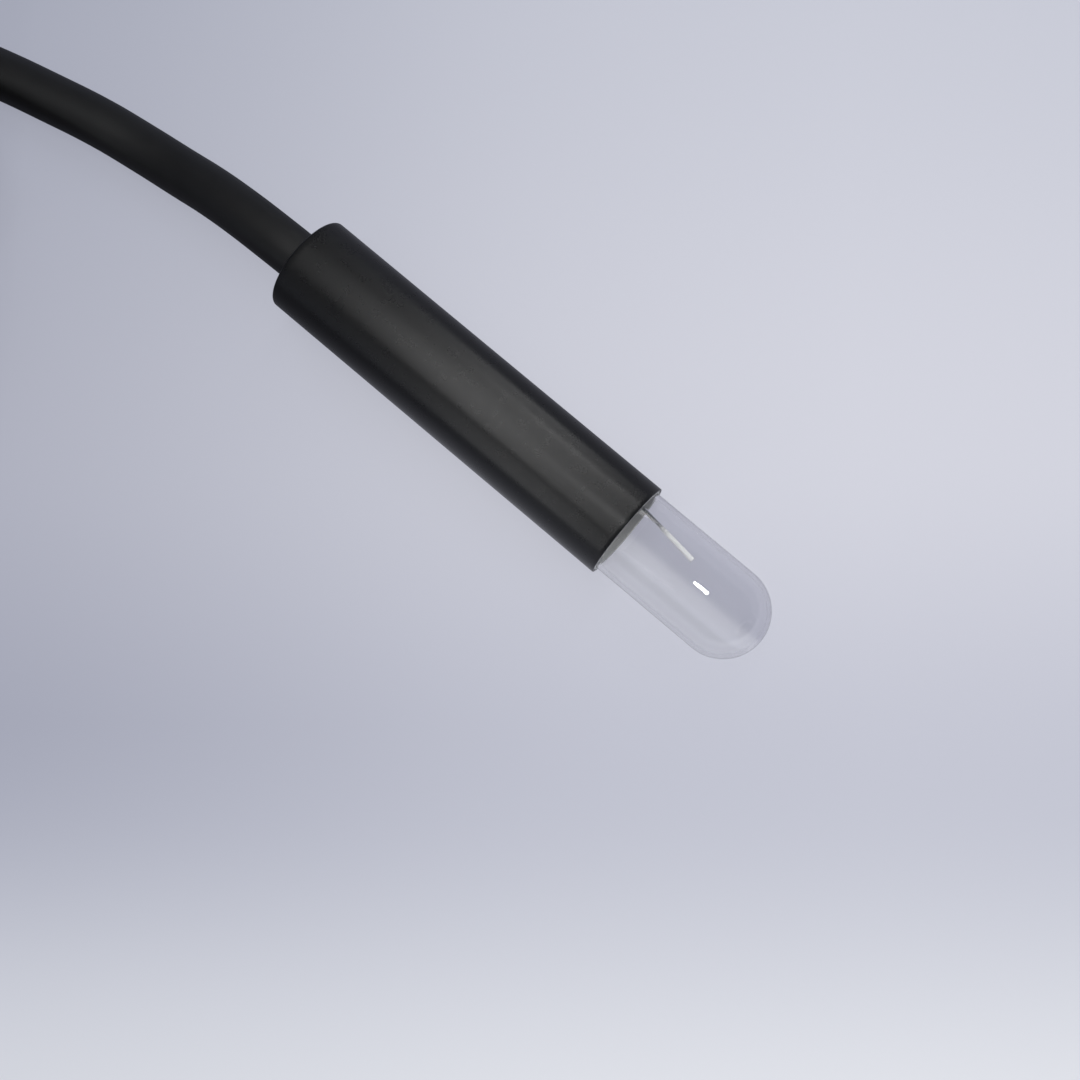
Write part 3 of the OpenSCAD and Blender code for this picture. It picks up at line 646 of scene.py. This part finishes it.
print("finishes:", len(finishes))

# %% [markdown]
# Blown glass is never quite even: long shallow waves run along it, which a stretched grain gives. Its
# outer face bends light by glass against air, its inner face by glass against solution. Where the wall is
# seen edge on, light has a long way through it and comes out a little darker and bluer, so a ramp on the
# angle tints the rim.

# %% Glass finish
WAVES = dict(tone=0.0, spread=0.0, grain=400, depth=0.0004, stretch=(0.2, 1, 1))
wall_glass = clear(finish("bulb_glass", (1, 1, 1), 0.0, **WAVES), GLASS_INDEX)
wall_inside = clear(finish("bulb_glass_inside", (1, 1, 1), 0.0, **WAVES), GLASS_INDEX / GEL_INDEX)
tree = wall_glass.node_tree
edge = tree.nodes.new("ShaderNodeLayerWeight")
edge.inputs["Blend"].default_value = 0.5
rim = tree.nodes.new("ShaderNodeValToRGB")
RIM_STOPS = [(0.82, (1, 1, 1, 1)), (0.96, (0.5, 0.5, 0.56, 1))]
for stop, (position, colour) in zip(rim.color_ramp.elements, RIM_STOPS):
    stop.position = position
    stop.color = colour
tree.links.new(edge.outputs["Facing"], rim.inputs["Fac"])
tree.links.new(rim.outputs["Color"], tree.nodes["Principled BSDF"].inputs["Base Color"])
finishes["bulb_glass"] = wall_glass
print("rim tinted by", [round(c, 2) for c in rim.color_ramp.elements[1].color[:3]])

# %% [markdown]
# The wire is bare polished silver where it leaves the sleeve. Further out it has a pale matt coat of
# silver salt, which is what makes it an electrode. A ramp along X takes the metal's shine away there.

# %% Silver coat
BARE_TO, COATED_FROM = 2.2 * MM, 4 * MM
coat = finishes["silver_wire"].node_tree
split = coat.nodes.new("ShaderNodeSeparateXYZ")
coat.links.new(coat.nodes["Texture Coordinate"].outputs["Object"], split.inputs["Vector"])
bare = coat.nodes.new("ShaderNodeMapRange")
bare.inputs["From Min"].default_value = mouth_x + BARE_TO
bare.inputs["From Max"].default_value = mouth_x + COATED_FROM
bare.inputs["To Min"].default_value = 1
bare.inputs["To Max"].default_value = 0
coat.links.new(split.outputs["X"], bare.inputs["Value"])
coat.links.new(bare.outputs["Result"], coat.nodes["Principled BSDF"].inputs["Metallic"])
print("coated from X =", round((mouth_x + COATED_FROM) / MM, 1), "mm")

# %% [markdown]
# Each solid names its material slot in the record, and gets that slot's finish. The new pieces get theirs
# by name. The glass has two: the outer one first, then the one that its inner faces point to.

# %% Hand out the finishes
slot_of = {part["node"]: part["material_slot"] for part in frame["record"]["subparts"]}
for node, obj in frame["nodes"].items():
    obj.data.materials.clear()
    obj.data.materials.append(finishes[slot_of[node]])
new_pieces = [(lead, "lead_jacket"), (sleeve, "sleeve_plastic"), (ring, "junction_ceramic"),
              (glass, "bulb_glass"), (wire, "silver_wire"), (strap, "tie_strap"), (spring, "washer_steel")]
for piece, slot in new_pieces:
    piece.data.materials.clear()
    piece.data.materials.append(finishes[slot])
glass.data.materials.append(wall_inside)
print("finishes handed out to", len(frame["nodes"]), "solids and", len(new_pieces), "new pieces")

# %% [markdown]
# The electrode lies on a pale floor, bluish grey at the far left and nearly white towards the viewer: that
# change is painted shade in the floor's colour. It is one wide plane, and it isn't part of the object. A
# backdrop that curves up behind isn't needed, since the camera looks down so steeply that it sees nothing
# but the floor.

# %% Floor
FLOOR_SIZE = 8
deselect()
bpy.ops.mesh.primitive_plane_add(size=FLOOR_SIZE, location=(0, 0, 0))
floor = bpy.context.object
floor.name = "floor"
floor_mat = bpy.data.materials.new("floor")
floor_mat.use_nodes = True
floor.data.materials.append(floor_mat)
tree = floor_mat.node_tree
print("floor:", round(floor.dimensions.x), "m wide")

# %% [markdown]
# The floor's colour is laid on in soft ramps. Each ramp measures how far a point lies along one direction
# and looks up a colour there. It reads Object coordinates, so it lies still whatever the camera does.

# %% Helpers for the floor's colours
FLOOR_SPAN, FLOOR_GAIN = 0.15, 1.05


def tone(r, g, b):
    """A pale colour given as screen tones up to 255, as light, and a little up for what the floor loses."""
    return [FLOOR_GAIN * ((c / 255 + 0.055) / 1.055) ** 2.4 for c in (r, g, b)]


def floor_ramp(along, stops):
    """Colours in a row on the floor, each at its distance along that direction, in shares of the span."""
    place = tree.nodes.new("ShaderNodeTexCoord")
    dot = tree.nodes.new("ShaderNodeVectorMath")
    dot.operation = "DOT_PRODUCT"
    dot.inputs[1].default_value = along / FLOOR_SPAN
    tree.links.new(place.outputs["Object"], dot.inputs[0])
    shift = tree.nodes.new("ShaderNodeMath")
    shift.operation = "ADD"
    shift.inputs[1].default_value = 0.5
    tree.links.new(dot.outputs["Value"], shift.inputs[0])
    ramp = tree.nodes.new("ShaderNodeValToRGB")
    ramp.color_ramp.interpolation = "CARDINAL"
    while len(ramp.color_ramp.elements) < len(stops):
        ramp.color_ramp.elements.new(0.5)
    for element, (position, colour) in zip(ramp.color_ramp.elements, stops):
        element.position = position
        element.color = (*colour, 1)
    tree.links.new(shift.outputs["Value"], ramp.inputs["Fac"])
    return ramp.outputs["Color"]


def mixed(kind, factor, a, b):
    """A mix of the colours a and b. Each of them, and the factor, is an output or a plain value."""
    mix = tree.nodes.new("ShaderNodeMix")
    mix.data_type = "RGBA"
    mix.blend_type = kind
    for socket, value in ((mix.inputs["Factor"], factor), (mix.inputs[6], a), (mix.inputs[7], b)):
        if isinstance(value, bpy.types.NodeSocket):
            tree.links.new(value, socket)
        else:
            socket.default_value = value
    return mix.outputs[2]


print("a tone of 200 is", round(tone(200, 200, 200)[0], 3), "as light")

# %% [markdown]
# Two ramps are multiplied, and both paint shade into the floor's colour: one down the picture, with a soft
# painted darker trough before the viewer's side, and one across it, which paints the left darker. The
# second fades towards the viewer, where the floor is evenly pale.

# %% Floor as it is seen
ACROSS, DOWN = Vector((0.758, 0.652, 0)), Vector((0.640, -0.744, 0))
# Painted shade: the floor's colour dips to a darker trough before the viewer's side.
down_colours_and_shade = floor_ramp(DOWN, [(0.14, tone(200, 202, 213)), (0.5, tone(209, 210, 220)),
                                 (0.77, tone(196, 198, 210)), (0.98, tone(225, 227, 233))])
# Painted shade: the floor's colour darkens towards the left.
across_painted_shade = floor_ramp(ACROSS, [(0.09, (0.66, 0.67, 0.71)), (0.42, (0.87, 0.875, 0.89)),
                                     (0.76, (1, 1, 1))])
front_share = floor_ramp(DOWN, [(0.7, (0, 0, 0)), (0.85, (0.5, 0.5, 0.5)), (0.98, (0.6, 0.6, 0.6))])
across_eased = mixed("MIX", front_share, across_painted_shade, (1, 1, 1, 1))
plain_colour = mixed("MULTIPLY", 1, down_colours_and_shade, across_eased)
print("nodes for the floor as it is seen:", len(tree.nodes))

# %% [markdown]
# A thick glass tube full of solution shows the floor squeezed into a narrow strip. The shade across that
# strip is painted: a ramp darkens the floor's colour for rays that come through glass, standing in for
# light that leaves the curved wall at a slant. The strip is about 4 mm wide on the floor, and one ramp
# paints its shade.

# %% Floor through the glass
ACROSS_TUBE = Vector((0, 37.5, 0))
rays = tree.nodes.new("ShaderNodeLightPath")
through_shade = floor_ramp(ACROSS_TUBE, [(0, (0.88, 0.88, 0.88)), (0.12, (0.97, 0.97, 0.97)),
                                         (0.3, (0.97, 0.97, 0.97)), (0.66, (0.88, 0.88, 0.89)),
                                         (0.8, (0.77, 0.77, 0.8)), (0.95, (0.72, 0.72, 0.76))])
through_colour = mixed("MULTIPLY", rays.outputs["Is Transmission Ray"], plain_colour, through_shade)
print("shaded strip:", round(FLOOR_SPAN / ACROSS_TUBE.length / MM, 1), "mm wide")

# %% [markdown]
# The flanks of the sleeve mirror the floor, and a real room is darker there than the pale sheet that is
# seen round the object. The floor stands in for it with painted shade: its colour is darker for mirrored
# rays only, most by the closed end and least by the glass, and this shades the sleeve's reflections. In
# front the change comes sooner than behind. A sharp ray bent by glass counts as mirrored too, so those rays
# are taken off.

# %% Floor in a reflection
ALONG_SLEEVE, ASIDE = Vector((1.25, 0, 0)), Vector((0, 1.25, 0))
mirrored = tree.nodes.new("ShaderNodeMath")
mirrored.operation = "SUBTRACT"
mirrored.use_clamp = True
tree.links.new(rays.outputs["Is Glossy Ray"], mirrored.inputs[0])
tree.links.new(rays.outputs["Is Transmission Ray"], mirrored.inputs[1])
front_shade = floor_ramp(ALONG_SLEEVE, [(0, (0.22, 0.22, 0.23)), (0.2, (0.25, 0.25, 0.26)),
                                        (0.3, (0.42, 0.42, 0.43)), (0.4, (0.66, 0.66, 0.67)),
                                        (0.53, (0.8, 0.8, 0.8))])
back_shade = floor_ramp(ALONG_SLEEVE, [(0, (0.4, 0.4, 0.42)), (0.6, (0.4, 0.4, 0.42)),
                                       (0.68, (0.75, 0.75, 0.75)), (1, (0.75, 0.75, 0.75))])
back_share = floor_ramp(ASIDE, [(0.42, (0, 0, 0)), (0.58, (1, 1, 1))])
both_shades = mixed("MIX", back_share, front_shade, back_shade)
mirror_colour = mixed("MULTIPLY", 1, through_colour, both_shades)
floor_colour = mixed("MIX", mirrored.outputs["Value"], through_colour, mirror_colour)
print("reflections shaded over", round(FLOOR_SPAN / ALONG_SLEEVE.length / MM), "mm")

# %% [markdown]
# Seen straight, in a reflection or through glass, most of the floor shines with its own colour, so that
# the background keeps its tone. The rest is an ordinary matt surface, which keeps the object's shadow.

# %% Floor's surface
GLOW_SHARE = 0.8
shader = tree.nodes["Principled BSDF"]
shader.inputs["Roughness"].default_value = 0.9
shader.inputs["Specular IOR Level"].default_value = 0.1
tree.links.new(floor_colour, shader.inputs["Base Color"])
glow = tree.nodes.new("ShaderNodeEmission")
tree.links.new(floor_colour, glow.inputs["Color"])
seen = rays.outputs["Is Camera Ray"]
for kind in ("Is Glossy Ray", "Is Transmission Ray"):
    either = tree.nodes.new("ShaderNodeMath")
    either.operation = "MAXIMUM"
    tree.links.new(seen, either.inputs[0])
    tree.links.new(rays.outputs[kind], either.inputs[1])
    seen = either.outputs["Value"]
share = tree.nodes.new("ShaderNodeMath")
share.operation = "MULTIPLY"
share.inputs[1].default_value = GLOW_SHARE
tree.links.new(seen, share.inputs[0])
blend = tree.nodes.new("ShaderNodeMixShader")
tree.links.new(share.outputs["Value"], blend.inputs["Fac"])
tree.links.new(shader.outputs["BSDF"], blend.inputs[1])
tree.links.new(glow.outputs["Emission"], blend.inputs[2])
tree.links.new(blend.outputs["Shader"], tree.nodes["Material Output"].inputs["Surface"])
print("floor:", len(tree.nodes), "nodes")

# %% [markdown]
# A black satin surface shows little but what it mirrors, so its lamps are hung by where their images
# fall. A lamp here is a rectangle turned so that one side of it lies along X.

# %% A helper for lamps
def lamp(name, place, aim, size, watts, colour=(1, 1, 1)):
    """A rectangular lamp at place that faces aim. Its size is given along X and across."""
    light = bpy.data.lights.new(name, "AREA")
    light.shape = "RECTANGLE"
    light.size, light.size_y = size
    light.energy = watts
    light.color = colour
    obj = bpy.data.objects.new(name, light)
    bpy.context.scene.collection.objects.link(obj)
    back = (Vector(place) - Vector(aim)).normalized()
    across = back.cross(Vector((1, 0, 0))).normalized()
    turn = Matrix((across.cross(back), across, back)).transposed()
    obj.matrix_world = Matrix.Translation(place) @ turn.to_4x4()
    return obj


print("the camera sees from direction", [round(v, 2) for v in towards_camera])

# %% [markdown]
# A long strip hangs across the sleeve, above and to the left. Its image is the soft light along the
# sleeve's middle, brightest two thirds of the way to the mouth and fading towards both ends. A thin
# second strip helps at the mouth, and two low ones, behind and in front, light the flanks. A tiny lamp is
# mirrored in the glass as the bright streak and lights no matt surface. Three wide soft lamps only fill,
# and no gloss mirrors them. None is seen through the glass, where a bent lamp would be a white patch.

# %% Lamps
key = lamp("strip_key", (-0.136, 0.18, 0.6), (0, 0.18, 0), (0.07, 1.3), 1.4)
mouth_key = lamp("strip_mouth", (-0.06, 0.15, 0.6), (0, 0.15, 0), (0.02, 1.3), 0.3)
back = lamp("strip_back", (-0.15, 0.7, 0.35), (0, 0, 0), (0.08, 0.5), 0.4)
side = lamp("strip_side", (-0.08, -0.5, 0.24), (0, 0, 0), (0.08, 0.42), 0.22)
top = lamp("soft_top", (-0.02, -0.06, 0.6), (0, 0, 0), (0.3, 0.3), 1.0)
streak = lamp("streak", (0.014, -0.022, 0.5), (0.0252, 0, 0.011), (0.008, 0.07), 0.1)
left_fill = lamp("left_fill", (-0.6, 0.2, 0.45), (0, 0, 0), (0.3, 0.3), 1.5, (0.9, 0.94, 1))
right_fill = lamp("right_fill", (0.55, 0.3, 0.3), (0, 0, 0), (0.5, 0.4), 1.0, (0.95, 0.97, 1))
streak.visible_diffuse = False
for light in (top, left_fill, right_fill):
    light.visible_glossy = False
for light in (key, mouth_key, back, side, top, streak, left_fill, right_fill):
    light.visible_transmission = False
all_watts = sum(data.energy for data in bpy.data.lights)
print("lamps:", len(bpy.data.lights), "with", round(all_watts, 2), "W in all")

# %% [markdown]
# Beyond the lamps the room is dim, a little lighter and bluer near the floor than overhead, as a studio
# with dark walls is. The camera alone sees it pale, so that no dark edge shows behind the floor in any
# view.

# %% Room
world = bpy.data.worlds.new("studio")
world.use_nodes = True
bpy.context.scene.world = world
sky = world.node_tree
way = sky.nodes.new("ShaderNodeTexCoord")
height = sky.nodes.new("ShaderNodeSeparateXYZ")
sky.links.new(way.outputs["Generated"], height.inputs["Vector"])
sky_ramp = sky.nodes.new("ShaderNodeValToRGB")
sky_ramp.color_ramp.elements[0].position = 0.05
sky_ramp.color_ramp.elements[0].color = (0.2, 0.215, 0.27, 1)
sky_ramp.color_ramp.elements[1].position = 0.75
sky_ramp.color_ramp.elements[1].color = (0.07, 0.073, 0.085, 1)
sky.links.new(height.outputs["Z"], sky_ramp.inputs["Fac"])
sky_rays = sky.nodes.new("ShaderNodeLightPath")
backdrop = sky.nodes.new("ShaderNodeMix")
backdrop.data_type = "RGBA"
backdrop.inputs[7].default_value = (0.56, 0.58, 0.66, 1)
sky.links.new(sky_rays.outputs["Is Camera Ray"], backdrop.inputs["Factor"])
sky.links.new(sky_ramp.outputs["Color"], backdrop.inputs[6])
sky.links.new(backdrop.outputs[2], sky.nodes["Background"].inputs["Color"])
sky.nodes["Background"].inputs["Strength"].default_value = 1
bpy.context.scene.view_settings.view_transform = "Standard"
print("room's light overhead:", round(sky_ramp.color_ramp.elements[1].color[0], 3))
